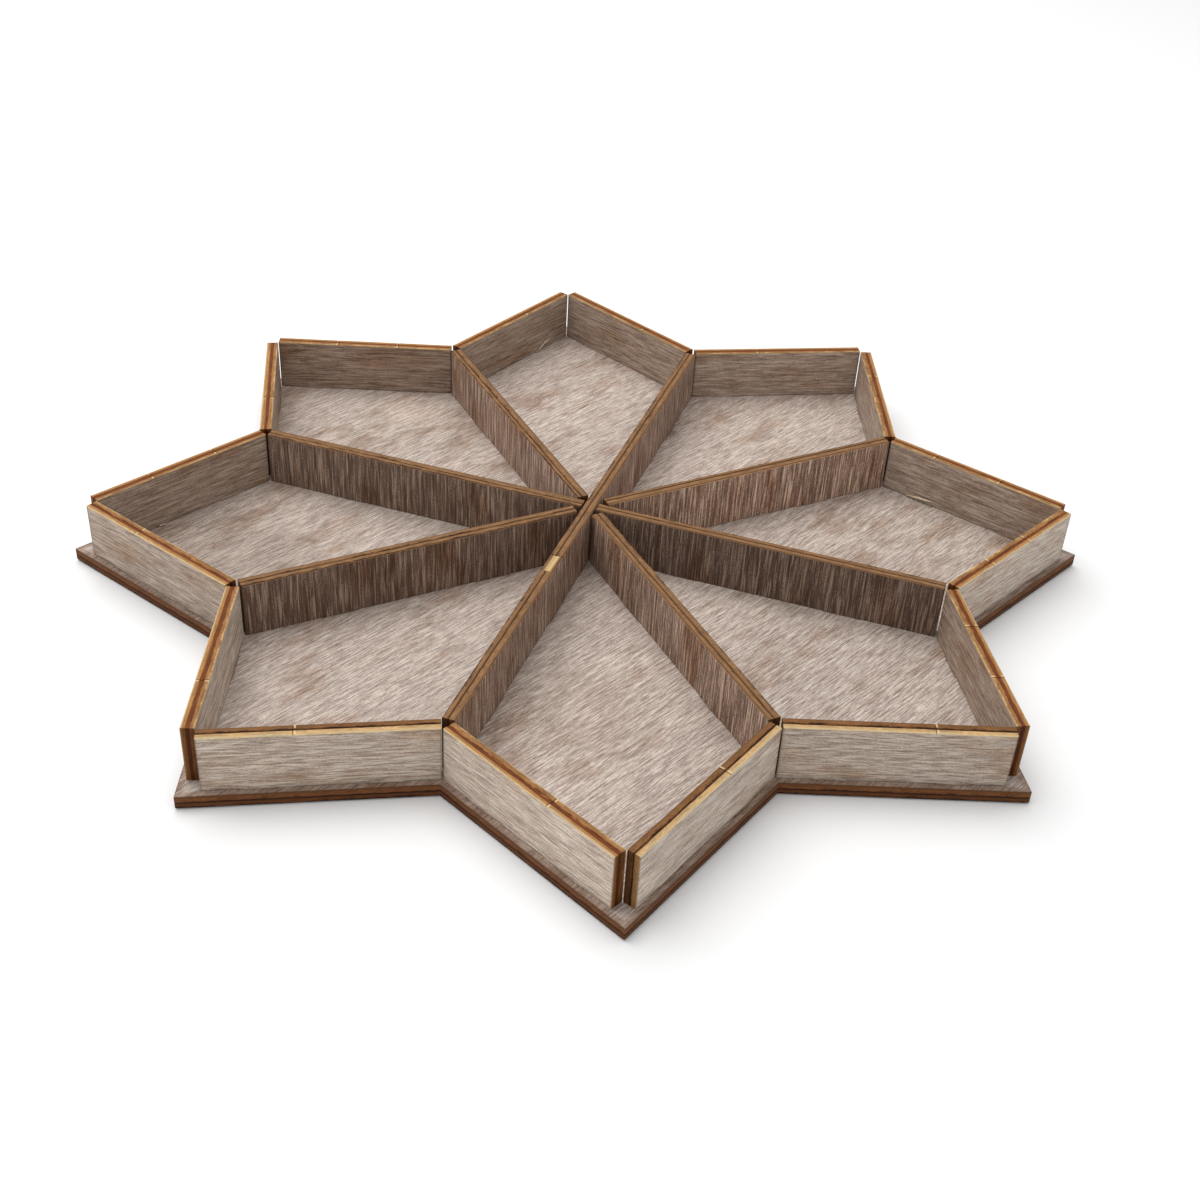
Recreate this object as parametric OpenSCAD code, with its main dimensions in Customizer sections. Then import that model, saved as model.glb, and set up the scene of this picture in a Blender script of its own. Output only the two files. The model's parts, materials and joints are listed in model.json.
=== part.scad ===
// Eight-pointed star tray with eight kite-shaped compartments.
// Every piece is cut from one thickness of sheet. A star base plate lies flat, and walls and
// dividers stand on it, each held by tabs that fit slots through the plate.
// Origin: centre of the underside of the base plate. +Z is up and one point faces -Y.

/* [Sheet] */
// Thickness of the plywood sheet that every piece is cut from
sheet = 3; // [2.5:0.1:3.5]
// Clearance on each side of a tab in its slot
slot_clearance = 0.05; // [0.02:0.01:0.1]

/* [Star] */
// Distance from the centre to the tip of each point of the base plate
tip_r = 125; // [115:1:140]
// Distance from the centre to each valley between two points
valley_r = 92; // [88:1:98]
// Width of the ledge that the base plate leaves outside the walls
ledge = 1.5; // [1:0.1:2.5]

/* [Uprights] */
// Height of the walls and dividers above the base plate
wall_h = 14; // [8:0.5:40]
// Gap between the inner edges of the two walls that meet at a tip
tip_gap = 0.2; // [0.1:0.1:1.5]
// Gap between the outer edges of the two walls that meet in a valley
valley_gap = 0.3; // [0.2:0.1:1]
// Gap between the outer end of a divider and the walls beside it
divider_end_gap = 0.4; // [0.3:0.1:1]
// Gap between the inner end of a half divider and the divider that it butts
butt_gap = 0.4; // [0.2:0.1:0.8]

/* [Tabs] */
// Width of each of the two tabs under a wall
wall_tab_w = 7.5; // [5:0.5:10]
// Distance from each end of a wall to its nearer tab
wall_tab_inset = 7.5; // [5:0.5:10]
// Width of each tab under a divider
divider_tab_w = 8.5; // [6:0.5:12]
// Distance from each end of a divider's half to its nearer tab
divider_tab_inset = 18; // [12:1:24]

/* [Hidden] */
POINTS = 8;
STEP = 360 / POINTS;
FIRST_POINT = -90;
THROUGH = 3;                 // valley where the through divider ends; its other end is opposite
CUT = 1;                     // how far a cutting shape runs past the face that it cuts
SIDES = ["left", "right"];   // as seen by someone who faces that point from outside

HALF_VALLEYS = [for (v = [0 : POINTS - 1]) if (v % (POINTS / 2) != THROUGH) v];

function polar(r, angle) = [r * cos(angle), r * sin(angle)];
function point_angle(p) = FIRST_POINT + STEP * p;
function valley_angle(v) = point_angle(v) + STEP / 2;

// One edge of the star, from a valley to a tip, and the angles that it makes at each end.
edge_across = valley_r * sin(STEP / 2);
edge_along = tip_r - valley_r * cos(STEP / 2);
edge_len = norm([edge_across, edge_along]);
half_tip = atan(edge_across / edge_along);
half_valley = half_tip + STEP / 2;

// Where a wall starts and stops along its edge, measured from the valley.
wall_start = valley_gap / (2 * sin(half_valley)) - ledge / tan(half_valley);
wall_stop = edge_len - (ledge + sheet) / tan(half_tip) - tip_gap / (2 * sin(half_tip));
wall_len = wall_stop - wall_start;
wall_tabs = [wall_tab_inset, wall_len - wall_tab_inset - wall_tab_w];

// Where the dividers start and stop, measured from the centre.
inner_faces_meet_r = valley_r - (ledge + sheet) / sin(half_valley);
divider_end_r = inner_faces_meet_r + sheet / 2 / tan(half_valley)
    - divider_end_gap / sin(half_valley);
square_start_r = sheet / 2 + butt_gap;
slant_start_r = sheet / 2 + square_start_r / sin(STEP);
function half_start_r(v) = v % 2 == THROUGH % 2 ? square_start_r : slant_start_r;
function half_tabs(start_r) = [
    divider_tab_inset,
    divider_end_r - start_r - divider_tab_inset - divider_tab_w
];
through_tabs = [
    for (end = [0, 1], t = half_tabs(slant_start_r))
        end == 0 ? t : 2 * divider_end_r - t - divider_tab_w
];

function wall_name(p, side) = str("point_", p + 1, "_", side, "_wall");
function half_name(i) = str("half_divider_", i + 1);

WASHED_FACE = [0.66, 0.60, 0.54];
SHADED_FACE = [0.42, 0.34, 0.28];
FLOOR_FACE = [0.72, 0.66, 0.60];

// Places its children on a wall's line: X runs from the wall's valley end towards the tip, Y = 0
// is the wall's inner face and Y = sheet its outer face.
module on_wall_line(p, side) {
    turn = side == "right" ? 1 : -1;
    rotate(point_angle(p))
        mirror([0, turn < 0 ? 1 : 0, 0])
            translate([tip_r, 0, 0])
                rotate(-half_tip)
                    translate([wall_start - edge_len, -ledge - sheet, 0])
                        children();
}

// Places its children on the radial line of a valley, with X running outwards from the centre.
module on_valley_line(v) {
    rotate(valley_angle(v)) translate([0, -sheet / 2, 0]) children();
}

// A rectangular panel that stands on the base plate, with tabs that reach down through it.
module upright(length, tabs, tab_w) {
    translate([0, 0, sheet]) cube([length, sheet, wall_h]);
    for (x = tabs) translate([x, 0, 0]) cube([tab_w, sheet, sheet + CUT]);
}

// The cutting shapes for the slots that take an upright's tabs.
module slots(tabs, tab_w) {
    for (x = tabs)
        translate([x - slot_clearance, -slot_clearance, -CUT])
            cube([tab_w + 2 * slot_clearance, sheet + 2 * slot_clearance, sheet + 2 * CUT]);
}

module star_outline() {
    polygon([
        for (p = [0 : POINTS - 1], at_valley = [false, true])
            at_valley ? polar(valley_r, valley_angle(p)) : polar(tip_r, point_angle(p))
    ]);
}

module base_plate() {
    color(FLOOR_FACE) difference() {
        linear_extrude(sheet) star_outline();
        for (p = [0 : POINTS - 1], side = SIDES) on_wall_line(p, side) slots(wall_tabs, wall_tab_w);
        for (v = HALF_VALLEYS) on_valley_line(v)
            translate([half_start_r(v), 0, 0]) slots(half_tabs(half_start_r(v)), divider_tab_w);
        on_valley_line(THROUGH)
            translate([-divider_end_r, 0, 0]) slots(through_tabs, divider_tab_w);
    }
}

module wall(p, side) {
    color(WASHED_FACE) on_wall_line(p, side) upright(wall_len, wall_tabs, wall_tab_w);
}

module through_divider() {
    color(SHADED_FACE) on_valley_line(THROUGH)
        translate([-divider_end_r, 0, 0]) upright(2 * divider_end_r, through_tabs, divider_tab_w);
}

module half_divider(v) {
    start_r = half_start_r(v);
    color(SHADED_FACE) on_valley_line(v)
        translate([start_r, 0, 0])
            upright(divider_end_r - start_r, half_tabs(start_r), divider_tab_w);
}

base_plate();
through_divider();
for (i = [0 : len(HALF_VALLEYS) - 1])
    half_divider(HALF_VALLEYS[i]);
for (p = [0 : POINTS - 1], side = SIDES)
    wall(p, side);
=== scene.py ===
"""Star sorting tray of laser-cut three-layer plywood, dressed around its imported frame."""

import json
import logging
import math
import random
from dataclasses import dataclass
from enum import Enum
from typing import Iterable, Sequence

import bmesh
import bpy
from mathutils import Matrix, Vector

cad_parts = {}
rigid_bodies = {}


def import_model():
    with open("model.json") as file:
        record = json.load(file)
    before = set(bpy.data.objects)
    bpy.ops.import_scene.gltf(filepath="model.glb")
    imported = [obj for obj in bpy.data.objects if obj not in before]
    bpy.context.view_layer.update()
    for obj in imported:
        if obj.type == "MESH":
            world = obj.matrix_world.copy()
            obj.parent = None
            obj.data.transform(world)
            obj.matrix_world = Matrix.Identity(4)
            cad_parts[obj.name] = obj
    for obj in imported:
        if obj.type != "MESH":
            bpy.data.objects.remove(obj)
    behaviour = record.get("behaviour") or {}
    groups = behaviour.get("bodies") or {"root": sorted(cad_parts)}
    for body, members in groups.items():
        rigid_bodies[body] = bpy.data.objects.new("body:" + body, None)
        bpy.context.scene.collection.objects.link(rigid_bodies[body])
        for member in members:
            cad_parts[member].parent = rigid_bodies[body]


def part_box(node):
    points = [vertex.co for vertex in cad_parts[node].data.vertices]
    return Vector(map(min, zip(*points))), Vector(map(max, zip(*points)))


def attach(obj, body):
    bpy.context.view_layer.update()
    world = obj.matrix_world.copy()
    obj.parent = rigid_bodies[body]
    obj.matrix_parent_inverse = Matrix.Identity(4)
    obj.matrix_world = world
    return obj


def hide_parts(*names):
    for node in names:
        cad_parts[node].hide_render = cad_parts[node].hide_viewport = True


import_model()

LOG = logging.getLogger("star_tray")
MM = 0.001
ROOT = "root"
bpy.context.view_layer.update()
WELD = 2e-6  # points nearer to each other than this are one point

Point = tuple[float, float]
Colour = tuple[float, float, float]


# --------------------------------------------------------------------------- plan of the tray


class Side(Enum):
    """Which of a point's two walls, as seen by someone who faces the point from outside."""

    LEFT = "left"
    RIGHT = "right"


@dataclass(frozen=True)
class StarPlan:
    """Sizes of the star and the lines that its uprights stand on, in metres."""

    tip_r: float
    sheet: float
    wall_h: float
    valley_r: float = 92 * MM
    ledge: float = 1.5 * MM
    tip_gap: float = 0.2 * MM
    valley_gap: float = 0.3 * MM
    divider_end_gap: float = 0.4 * MM
    butt_gap: float = 0.4 * MM
    wall_tab: float = 7.5 * MM
    wall_tab_inset: float = 7.5 * MM
    divider_tab: float = 8.5 * MM
    divider_tab_inset: float = 18 * MM
    slot_clearance: float = 0.05 * MM
    points: int = 8
    through: int = 3

    @classmethod
    def from_frame(cls) -> "StarPlan":
        """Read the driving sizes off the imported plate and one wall.

        Returns:
            The plan whose outer sizes are the frame's own.
        """
        plate_low, plate_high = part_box("base_plate")
        _, wall_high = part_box("point_1_left_wall")
        sheet = plate_high.z - plate_low.z
        return cls(tip_r=plate_high.x, sheet=sheet, wall_h=wall_high.z - sheet)

    @property
    def step(self) -> float:
        """Angle from one point to the next."""
        return math.tau / self.points

    @property
    def edge(self) -> Vector:
        """One edge of the star: how far it runs outwards and across."""
        half = self.step / 2
        return Vector((self.tip_r - self.valley_r * math.cos(half), self.valley_r * math.sin(half)))

    @property
    def half_tip(self) -> float:
        """Half the angle of a point."""
        return math.atan2(self.edge.y, self.edge.x)

    @property
    def half_valley(self) -> float:
        """Half the outer angle of a valley."""
        return self.half_tip + self.step / 2

    @property
    def wall_start(self) -> float:
        """Where a wall starts along its edge, measured from the valley."""
        gap = self.valley_gap / (2 * math.sin(self.half_valley))
        return gap - self.ledge / math.tan(self.half_valley)

    @property
    def wall_len(self) -> float:
        """Length of a wall."""
        setback = (self.ledge + self.sheet) / math.tan(self.half_tip)
        gap = self.tip_gap / (2 * math.sin(self.half_tip))
        return self.edge.length - setback - gap - self.wall_start

    @property
    def divider_end(self) -> float:
        """Distance from the centre to the outer end of a divider."""
        meet = self.valley_r - (self.ledge + self.sheet) / math.sin(self.half_valley)
        corner = self.sheet / 2 / math.tan(self.half_valley)
        return meet + corner - self.divider_end_gap / math.sin(self.half_valley)

    def half_start(self, valley: int) -> float:
        """Distance from the centre to the inner end of a half divider.

        Args:
            valley: The half divider's valley, counted from 0.

        Returns:
            The distance, longer for a half divider that meets the through divider on a slant.
        """
        square = self.sheet / 2 + self.butt_gap
        if valley % 2 == self.through % 2:
            return square
        return self.sheet / 2 + square / math.sin(self.step)

    def half_valleys(self) -> list[int]:
        """Valleys that have a half divider."""
        return [v for v in range(self.points) if v % (self.points // 2) != self.through]

    def point_angle(self, point: int) -> float:
        """Direction of a point; the first one faces the front."""
        return self.step * point - math.pi / 2

    def valley_angle(self, valley: int) -> float:
        """Direction of the valley that follows the point of the same number."""
        return self.point_angle(valley) + self.step / 2

    def wall_tabs(self) -> list[float]:
        """Where the tabs of a wall start along it."""
        return [self.wall_tab_inset, self.wall_len - self.wall_tab_inset - self.wall_tab]

    def half_tabs(self, start: float) -> list[float]:
        """Where the tabs of a half divider start along it.

        Args:
            start: Distance from the centre to its inner end.

        Returns:
            The two starts, measured from the inner end.
        """
        length = self.divider_end - start
        return [self.divider_tab_inset, length - self.divider_tab_inset - self.divider_tab]

    def through_tabs(self) -> list[float]:
        """Where the tabs of the through divider start along it."""
        length = 2 * self.divider_end
        near = self.half_tabs(self.half_start(0))
        return sorted(near + [length - t - self.divider_tab for t in near])

    def upright_place(self, origin: Vector, along: Vector) -> Matrix:
        """Stand a flat panel up on the plate.

        Args:
            origin: Where the panel's lower corner on its first face stands, seen from above.
            along: Direction that the panel runs in, seen from above.

        Returns:
            A rotation and a move; the panel's X runs along, Y up and Z through its thickness.
        """
        run, up = along.to_3d().normalized(), Vector((0, 0, 1))
        turn = Matrix((run, up, run.cross(up))).transposed().to_4x4()
        return Matrix.Translation((origin.x, origin.y, self.sheet)) @ turn

    def wall_place(self, point: int, side: Side) -> Matrix:
        """Place of a wall: its first face is the outer one.

        Args:
            point: The point that the wall belongs to, counted from 0.
            side: Which of its two walls.

        Returns:
            The matrix that stands the flat wall up.
        """
        hand = 1 if side is Side.RIGHT else -1
        turn = Matrix.Rotation(self.point_angle(point), 2)
        along = turn @ Vector((self.edge.x, -hand * self.edge.y)).normalized()
        outward = hand * Vector((-along.y, along.x))
        valley = turn @ Vector((self.tip_r - self.edge.x, hand * self.edge.y))
        start = valley + along * self.wall_start - outward * self.ledge
        if side is Side.RIGHT:
            return self.upright_place(start, along)
        return self.upright_place(start + along * self.wall_len, -along)

    def divider_place(self, valley: int, start: float) -> Matrix:
        """Place of a divider that runs outwards along a valley's line.

        Args:
            valley: The valley, counted from 0.
            start: Distance from the centre to the divider's inner end.

        Returns:
            The matrix that stands the flat divider up.
        """
        angle = self.valley_angle(valley)
        along = Vector((math.cos(angle), math.sin(angle)))
        side = Vector((-along.y, along.x))
        return self.upright_place(along * start + side * self.sheet / 2, along)


# --------------------------------------------------------------------------- flat outlines


@dataclass(frozen=True)
class Mark:
    """A short stretch of a cut line where something sets it apart."""

    side: int
    start: float
    stop: float
    nick: float = 0.0
    crack: float = 0.0
    bare: float = 0.0

    def covers(self, side: int, x: float) -> bool:
        """Whether a point along a side lies in the mark."""
        return side == self.side and self.start <= x <= self.stop


@dataclass(frozen=True)
class Loop:
    """A closed cut line, drawn with the piece on its left-hand side."""

    corners: tuple[Point, ...]
    scorch_and_shade: tuple[float, ...]
    marks: tuple[Mark, ...] = ()

    def side(self, i: int) -> tuple[Vector, Vector, float]:
        """One straight side of the line.

        Args:
            i: Number of the corner that the side starts from.

        Returns:
            Its start, its direction and its length.
        """
        start = Vector(self.corners[i])
        run = Vector(self.corners[(i + 1) % len(self.corners)]) - start
        return start, run.normalized(), run.length

    def cotangent(self, i: int) -> float:
        """Cotangent of half the piece's angle at a corner."""
        before, after = self.side(i - 1 if i else len(self.corners) - 1)[1], self.side(i)[1]
        turn = math.atan2(before.x * after.y - before.y * after.x, before.dot(after))
        return math.tan(turn / 2)


@dataclass
class Station:
    """One point of a cut line with what the sheet generator has to know there."""

    place: Vector
    normal: Vector
    ring: Vector
    run: float
    scorch_and_shade: float
    nick: float
    crack: float
    bare: float


@dataclass(frozen=True)
class CutOutline:
    """Cut lines of one flat piece, ready for the sheet generator."""

    loops: tuple[Loop, ...]
    spacing: float = 0.6 * MM
    kerf_round: float = 0.1 * MM
    margin: float = 0.6 * MM
    step: float = 0.06 * MM

    def mesh(self, name: str) -> bpy.types.Mesh:
        """Draw the cut lines as edge loops that carry the generator's attributes.

        Args:
            name: Name of the new mesh.

        Returns:
            A mesh of edges; ring leads from each point to the border of the plain face.
        """
        stations: list[Station] = []
        inward: list[Vector] = []
        edges: list[tuple[int, int]] = []
        for loop in self.loops:
            first = len(stations)
            stations += self._walk(loop)
            count = len(stations) - first
            for i in range(count):
                here = stations[first + i]
                before = stations[first + (i - 1) % count]
                after = stations[first + (i + 1) % count]
                into = (here.place - before.place).normalized()
                out = (after.place - here.place).normalized()
                inward.append(self._miter(into, out))
                edges.append((first + i, first + (i + 1) % count))
        mesh = bpy.data.meshes.new(name)
        mesh.from_pydata([s.place.to_3d() for s in stations], edges, [])
        self._vectors(mesh, "inward", inward)
        self._vectors(mesh, "ring", [s.ring for s in stations])
        for field in ("run", "scorch_and_shade", "nick", "crack", "bare"):
            values = [getattr(s, field) for s in stations]
            mesh.attributes.new(field, "FLOAT", "POINT").data.foreach_set("value", values)
        return mesh

    @staticmethod
    def _vectors(mesh: bpy.types.Mesh, name: str, values: Sequence[Vector]) -> None:
        """Store a flat vector for each point."""
        data = mesh.attributes.new(name, "FLOAT_VECTOR", "POINT").data
        data.foreach_set("vector", [c for v in values for c in v.to_3d()])

    def _walk(self, loop: Loop) -> Iterable[Station]:
        """Points along one loop, close together, with each corner rounded by the cut."""
        travelled = 0.0
        for i in range(len(loop.corners)):
            start, direction, length = loop.side(i)
            normal = Vector((-direction.y, direction.x))
            low = self.margin * loop.cotangent(i)
            high = length - self.margin * loop.cotangent((i + 1) % len(loop.corners))
            stops = self._stops(loop, i, length)
            for x in stops:
                inner = min(max(x, low), high)
                if x == stops[0] and low < 0:
                    inner = low
                if x == stops[-1] and high > length:
                    inner = high
                marks = [m for m in loop.marks if m.covers(i, x)]
                yield Station(
                    place=start + direction * x,
                    normal=normal,
                    ring=direction * (inner - x) + normal * self.margin,
                    run=travelled + x,
                    scorch_and_shade=loop.scorch_and_shade[i],
                    nick=max((m.nick for m in marks), default=0.0),
                    crack=max((m.crack for m in marks), default=0.0),
                    bare=max((m.bare for m in marks), default=0.0),
                )
            travelled += length

    def _stops(self, loop: Loop, side: int, length: float) -> list[float]:
        """Distances along a side at which points are put."""
        low, high = self.kerf_round, length - self.kerf_round
        count = max(1, round((high - low) / self.spacing))
        stops = {low + (high - low) * k / count for k in range(count + 1)}
        for mark in loop.marks:
            if mark.side == side:
                stops |= {mark.start - self.step, mark.start, mark.stop, mark.stop + self.step}
        return sorted(stops)

    @staticmethod
    def _miter(before: Vector, after: Vector) -> Vector:
        """How far a point moves inward for one unit of offset on both of its edges."""
        left_a, left_b = Vector((-before.y, before.x)), Vector((-after.y, after.x))
        return (left_a + left_b) / max(0.4, 1 + left_a.dot(left_b))


@dataclass(frozen=True)
class PanelCut:
    """A rectangle with tabs along its lower edge, and the marks on its top edge."""

    length: float
    height: float
    depth: float
    tabs: tuple[float, ...]
    tab: float
    nicks: tuple[float, ...] = ()
    nick_width: float = 0.35 * MM
    crack_width: float = 0.12 * MM
    bare_patch: tuple[float, float] | None = None

    def outline(self) -> CutOutline:
        """Cut line of the upright, with its lower shoulders at Y = 0.

        Returns:
            The outline.
        """
        corners: list[Point] = [(0, 0)]
        for start in self.tabs:
            stop = start + self.tab
            corners += [(start, 0), (start, -self.depth), (stop, -self.depth), (stop, 0)]
        corners += [(self.length, 0), (self.length, self.height), (0, self.height)]
        # Every cut edge but the top one is marked darker, partly real scorch and partly painted shade; the
        # top edge stays lighter as painted light from above.
        scorch_and_shade = [1.0] * len(corners)
        top = len(corners) - 2
        scorch_and_shade[top] = 0.0
        marks: list[Mark] = []
        for place in self.nicks:
            x = self.length - place
            marks.append(Mark(top, x, x + self.nick_width, nick=1.0))
            marks.append(Mark(top, x - 0.1 * MM - self.crack_width, x - 0.1 * MM, crack=1.0))
        if self.bare_patch:
            start, stop = self.length - self.bare_patch[1], self.length - self.bare_patch[0]
            marks.append(Mark(top, start, stop, bare=1.0))
            end = start - 0.15 * MM
            marks.append(Mark(top, end - self.crack_width, end, crack=1.0))
        return CutOutline((Loop(tuple(corners), tuple(scorch_and_shade), tuple(marks)),))


# --------------------------------------------------------------------------- node helpers


class Board:
    """A small hand for laying out a node tree."""

    def __init__(self, tree: bpy.types.NodeTree) -> None:
        """Work on one tree.

        Args:
            tree: The node tree to fill.
        """
        self.tree = tree

    def add(self, kind: str, inputs: dict | None = None, **settings: object) -> bpy.types.Node:
        """Add a node, set its properties and feed its inputs.

        Args:
            kind: The node's type identifier.
            inputs: Input name or index to a constant or to the socket that feeds it.
            **settings: Properties of the node.

        Returns:
            The new node.
        """
        node = self.tree.nodes.new(kind)
        for key, value in settings.items():
            setattr(node, key, value)
        for key, value in (inputs or {}).items():
            socket = node.inputs[key]
            if isinstance(value, bpy.types.NodeSocket):
                self.tree.links.new(value, socket)
            else:
                socket.default_value = value
        return node

    def math(self, operation: str, *values: object) -> bpy.types.NodeSocket:
        """A number worked out from others.

        Args:
            operation: The Math node's operation.
            *values: Constants or sockets.

        Returns:
            The result's socket.
        """
        return self.add("ShaderNodeMath", dict(enumerate(values)), operation=operation).outputs[0]

    def vector(self, operation: str, *values: object) -> bpy.types.NodeSocket:
        """A vector worked out from others, or a number for length and dot.

        Args:
            operation: The Vector Math node's operation.
            *values: Constants or sockets; a Scale's number goes third.

        Returns:
            The result's socket.
        """
        node = self.add("ShaderNodeVectorMath", operation=operation)
        for i, value in enumerate(values):
            if operation == "SCALE" and i == 1:
                i = 3
            if isinstance(value, bpy.types.NodeSocket):
                self.tree.links.new(value, node.inputs[i])
            else:
                node.inputs[i].default_value = value
        return node.outputs["Value"] if operation in ("LENGTH", "DOT_PRODUCT") else node.outputs[0]

    def xyz(self, x: object, y: object, z: object) -> bpy.types.NodeSocket:
        """A vector from three numbers."""
        return self.add("ShaderNodeCombineXYZ", {0: x, 1: y, 2: z}).outputs[0]

    def noise(
        self, vector: bpy.types.NodeSocket, scale: float = 1.0, detail: float = 2.0, rough: float = 0.5
    ) -> bpy.types.NodeSocket:
        """Soft noise of 0 to 1 around a half.

        Args:
            vector: Where to look it up.
            scale: Repeats per unit.
            detail: Octaves.
            rough: Weight of each further octave.

        Returns:
            The noise's socket.
        """
        inputs = {"Vector": vector, "Scale": scale, "Detail": detail, "Roughness": rough}
        return self.add("ShaderNodeTexNoise", inputs).outputs[0]

    def position(self) -> bpy.types.NodeSocket:
        """Position of a point."""
        return self.add("GeometryNodeInputPosition").outputs[0]

    def attribute(self, name: str, kind: str = "FLOAT") -> bpy.types.NodeSocket:
        """A named attribute, in a geometry tree."""
        node = self.add("GeometryNodeInputNamedAttribute", {"Name": name}, data_type=kind)
        return node.outputs[0]

    def store(
        self,
        geometry: bpy.types.NodeSocket,
        name: str,
        value: object,
        kind: str,
        chosen: bpy.types.NodeSocket | None = None,
    ) -> bpy.types.NodeSocket:
        """Store a named attribute on the points.

        Args:
            geometry: What to store it on.
            name: Its name.
            value: Its value.
            kind: Its data type.
            chosen: Which points get it; all of them if not given.

        Returns:
            The geometry that carries it.
        """
        inputs = {"Geometry": geometry, "Name": name, "Value": value}
        if chosen is not None:
            inputs["Selection"] = chosen
        node = self.add("GeometryNodeStoreNamedAttribute", inputs, data_type=kind, domain="POINT")
        return node.outputs[0]

    def join(self, *parts: bpy.types.NodeSocket) -> bpy.types.NodeSocket:
        """Several geometries as one."""
        node = self.add("GeometryNodeJoinGeometry")
        for part in parts:
            self.tree.links.new(part, node.inputs[0])
        return node.outputs[0]

    def dressed(
        self,
        geometry: bpy.types.NodeSocket,
        material: bpy.types.NodeSocket,
        chosen: bpy.types.NodeSocket | None = None,
    ) -> bpy.types.NodeSocket:
        """Give faces a material.

        Args:
            geometry: What to dress.
            material: The socket that holds the material.
            chosen: Which faces get it; all of them if not given.

        Returns:
            The dressed geometry.
        """
        inputs = {"Geometry": geometry, "Material": material}
        if chosen is not None:
            inputs["Selection"] = chosen
        return self.add("GeometryNodeSetMaterial", inputs).outputs[0]

    def welded(self, geometry: bpy.types.NodeSocket) -> bpy.types.NodeSocket:
        """A geometry whose points on the same spot are one."""
        inputs = {"Geometry": geometry, "Distance": WELD}
        return self.add("GeometryNodeMergeByDistance", inputs).outputs[0]

    def give(self, geometry: bpy.types.NodeSocket) -> None:
        """Lead the finished geometry out of the tree."""
        real = self.add("GeometryNodeRealizeInstances", {"Geometry": geometry}).outputs[0]
        self.tree.links.new(real, self.add("NodeGroupOutput").inputs[0])


class Generator:
    """A Geometry Nodes tree with named inputs that turns lines into one plain mesh."""

    def __init__(self, name: str, inputs: Sequence[tuple[str, str, object]]) -> None:
        """Start the tree.

        Args:
            name: Name of the tree.
            inputs: Name, socket type and default, or None, of every input; the lines come first.
        """
        self.tree = bpy.data.node_groups.new(name, "GeometryNodeTree")
        self.ids: dict[str, str] = {}
        for label, kind, value in inputs:
            socket = self.tree.interface.new_socket(label, in_out="INPUT", socket_type=kind)
            if value is not None:
                socket.default_value = value
            self.ids[label] = socket.identifier
        self.tree.interface.new_socket("Piece", in_out="OUTPUT", socket_type="NodeSocketGeometry")
        self.board = Board(self.tree)

    def run(
        self, name: str, lines: bpy.types.Mesh, values: dict[str, object], crease: float
    ) -> bpy.types.Object:
        """Make one piece and turn it into a plain mesh.

        Args:
            name: Name of the piece.
            lines: The mesh of edges to work on.
            values: Input name to value, for the inputs that differ from the tree's own.
            crease: Faces that meet at more than this angle keep a sharp edge between them.

        Returns:
            A new object with a closed mesh in its final place.
        """
        source = bpy.data.objects.new(name + "_lines", lines)
        bpy.context.scene.collection.objects.link(source)
        modifier = source.modifiers.new("generator", "NODES")
        modifier.node_group = self.tree
        for key, value in values.items():
            modifier[self.ids[key]] = value
        depsgraph = bpy.context.evaluated_depsgraph_get()
        mesh = bpy.data.meshes.new_from_object(source.evaluated_get(depsgraph))
        mesh.name = name
        bpy.data.objects.remove(source)
        close_shell(mesh, crease)
        piece = bpy.data.objects.new(name, mesh)
        bpy.context.scene.collection.objects.link(piece)
        return piece


# --------------------------------------------------------------------------- the sheet generator


@dataclass(frozen=True)
class Ring:
    """One ring of points across the cut edge of a sheet."""

    layer: float
    inset: float
    rise: float = 0.0
    rough: float = 0.0
    border: float = 1.0


@dataclass(frozen=True)
class Ply:
    """How a three-layer sheet looks where it is cut, in metres."""

    core_middle: float = 1.5 * MM
    core_width: float = 0.62 * MM
    recess: float = 0.16 * MM
    slope: float = 0.07 * MM
    outer_arris: float = 0.2 * MM
    inner_arris: float = 0.1 * MM
    inset: float = 0.05 * MM
    wobble: float = 0.04 * MM
    nick_proud: float = 0.045 * MM
    crack_depth: float = 0.16 * MM
    wobble_scale: float = 220.0
    rough_scale: float = 1500.0
    burnt_hold: float = 0.85
    core_waver: float = 0.2 * MM
    core_waver_scale: float = 160.0
    crease: float = math.radians(32)

    def rings(self) -> list[Ring]:
        """Profile of a cut edge from the first face to the second.

        Returns:
            Rings whose layer runs 0 to 3 through the three plies.
        """
        return [
            Ring(0.0, 0.0, border=0.0),
            Ring(0.0, self.outer_arris * 0.8, rough=0.12 * MM),
            Ring(0.3, 0.02 * MM, self.outer_arris, rough=0.05 * MM),
            Ring(0.9, 0.0, -self.slope, rough=0.02 * MM),
            Ring(1.1, self.recess, self.slope),
            Ring(1.9, self.recess, -self.slope),
            Ring(2.1, 0.0, self.slope, rough=0.02 * MM),
            Ring(2.8, 0.01 * MM, -self.inner_arris, rough=0.03 * MM),
            Ring(3.0, self.inner_arris * 0.7, rough=0.07 * MM),
            Ring(3.0, 0.0, border=0.0),
        ]


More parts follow.
